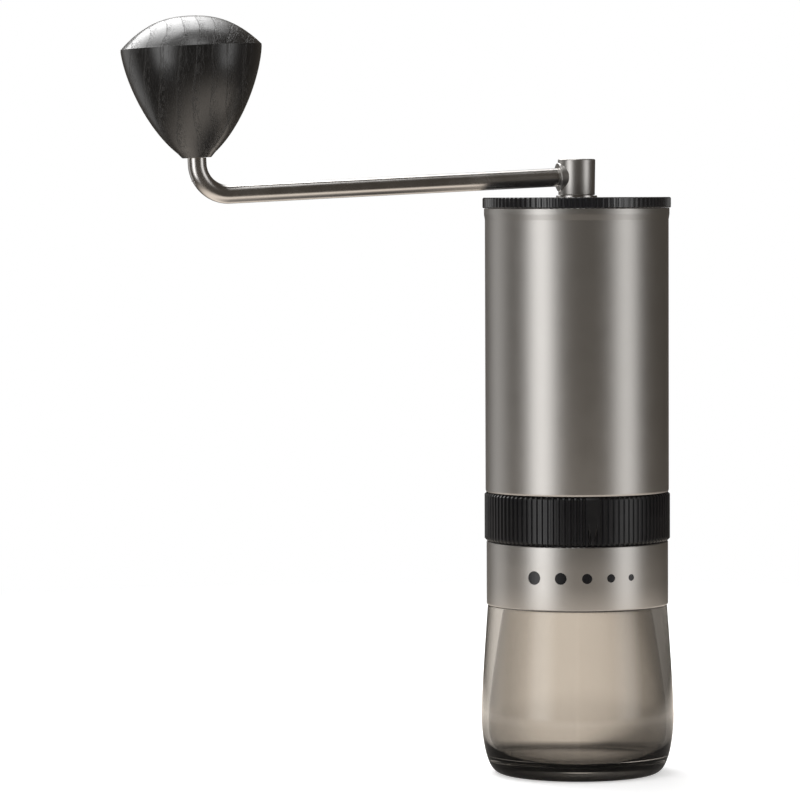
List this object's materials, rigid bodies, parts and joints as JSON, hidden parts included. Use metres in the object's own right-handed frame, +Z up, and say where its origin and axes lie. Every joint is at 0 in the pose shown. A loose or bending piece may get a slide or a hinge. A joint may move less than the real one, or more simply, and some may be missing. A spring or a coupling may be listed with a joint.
{
  "type": "hand crank coffee grinder",
  "caption": "Slim hand coffee grinder with a steel body, ribbed grind-adjusting ring, glass grounds jar, thin lid and a bent rod crank with a domed wooden knob.",
  "frame": {"origin": "centre of the foot pad's underside, on the grinder's axis", "axes": "+Z up the grinder's axis; the scale dots face -Y; the crank points to -X at rest, 14 degrees towards -Y"},
  "size_m": [0.1544, 0.0737, 0.2139],
  "materials": {
    "satin_steel": "bead-blasted satin steel",
    "polished_steel": "polished steel rod",
    "bearing_steel": "ground bearing steel",
    "zinc_steel": "plain zinc-coated steel",
    "burr_steel": "hardened tool steel, machined teeth",
    "frame_alloy": "turned aluminium",
    "carrier_brass": "turned brass",
    "black_ring": "black anodised, ribbed",
    "black_lid": "black moulded plastic, toothed rim",
    "dot_black": "black enamel fill",
    "smoke_glass": "warm grey smoked glass",
    "black_rubber": "black silicone",
    "spring_steel": "spring steel",
    "black_wood": "black stained open-grain wood, satin lacquer"
  },
  "bodies": {
    "housing": {"base_ring": "satin_steel", "scale_dots": "dot_black", "base_lock_ring": "frame_alloy", "detent_ball": "bearing_steel", "detent_spring": "spring_steel", "inner_frame": "frame_alloy", "frame_screws": "zinc_steel", "body_tube": "satin_steel", "carrier_spring": "spring_steel", "lower_bridge": "frame_alloy", "lower_outer_race": "bearing_steel", "lower_balls": "bearing_steel", "upper_bridge": "frame_alloy", "upper_outer_race": "bearing_steel", "upper_balls": "bearing_steel", "bridge_retaining_ring": "spring_steel"},
    "drive": {"drive_shaft": "bearing_steel", "shaft_circlip": "spring_steel", "shaft_spacer": "zinc_steel", "inner_burr": "burr_steel", "burr_washer": "zinc_steel", "burr_nut": "zinc_steel", "lower_inner_race": "bearing_steel", "upper_inner_race": "bearing_steel"},
    "crank": {"crank_hub": "satin_steel", "hub_cap": "satin_steel", "hub_set_screw": "zinc_steel", "crank_arm": "polished_steel", "knob_axle": "zinc_steel", "lid_clip": "spring_steel"},
    "knob_grip": {"knob": "black_wood", "knob_bush": "carrier_brass"},
    "lid_unit": {"lid": "black_lid", "lid_bush": "polished_steel", "lid_seal": "black_rubber"},
    "adjuster": {"adjust_ring": "black_ring"},
    "carrier": {"burr_carrier": "carrier_brass", "carrier_pins": "zinc_steel", "outer_burr": "burr_steel", "outer_burr_screws": "zinc_steel"},
    "jar_unit": {"jar": "smoke_glass", "jar_seal": "black_rubber", "foot_pad": "black_rubber"}
  },
  "joints": [
    {"name": "crank_turn", "type": "hinge", "parent": "housing", "child": "drive", "pos_m": [0, 0, 0], "axis": [0, 0, 1], "continuous": true},
    {"name": "crank_lift", "type": "slide", "parent": "drive", "child": "crank", "axis": [0, 0, 1], "range_m": [0, 0.05]},
    {"name": "knob_spin", "type": "hinge", "parent": "crank", "child": "knob_grip", "pos_m": [-0.10564, -0.02634, 0.16422], "axis": [-0.0457, -0.0114, 0.9989], "continuous": true},
    {"name": "lid_lift", "type": "slide", "parent": "housing", "child": "lid_unit", "axis": [0, 0, 1], "range_m": [0, 0.05]},
    {"name": "grind_adjust", "type": "hinge", "parent": "housing", "child": "adjuster", "pos_m": [0, 0, 0], "axis": [0, 0, 1], "range_deg": [-36, 28.8]},
    {"name": "burr_travel", "type": "slide", "parent": "housing", "child": "carrier", "axis": [0, 0, -1], "range_m": [-0.000301, 0.000241], "deforming": ["carrier_spring"]},
    {"name": "jar_pull", "type": "slide", "parent": "housing", "child": "jar_unit", "axis": [0, 0, -1], "range_m": [0, 0.06]}
  ],
  "couplings": [
    {"joint": "lid_lift", "follows": "crank_lift", "ratio": 1},
    {"joint": "burr_travel", "follows": "grind_adjust", "m_per_rad": 0.00047746}
  ]
}
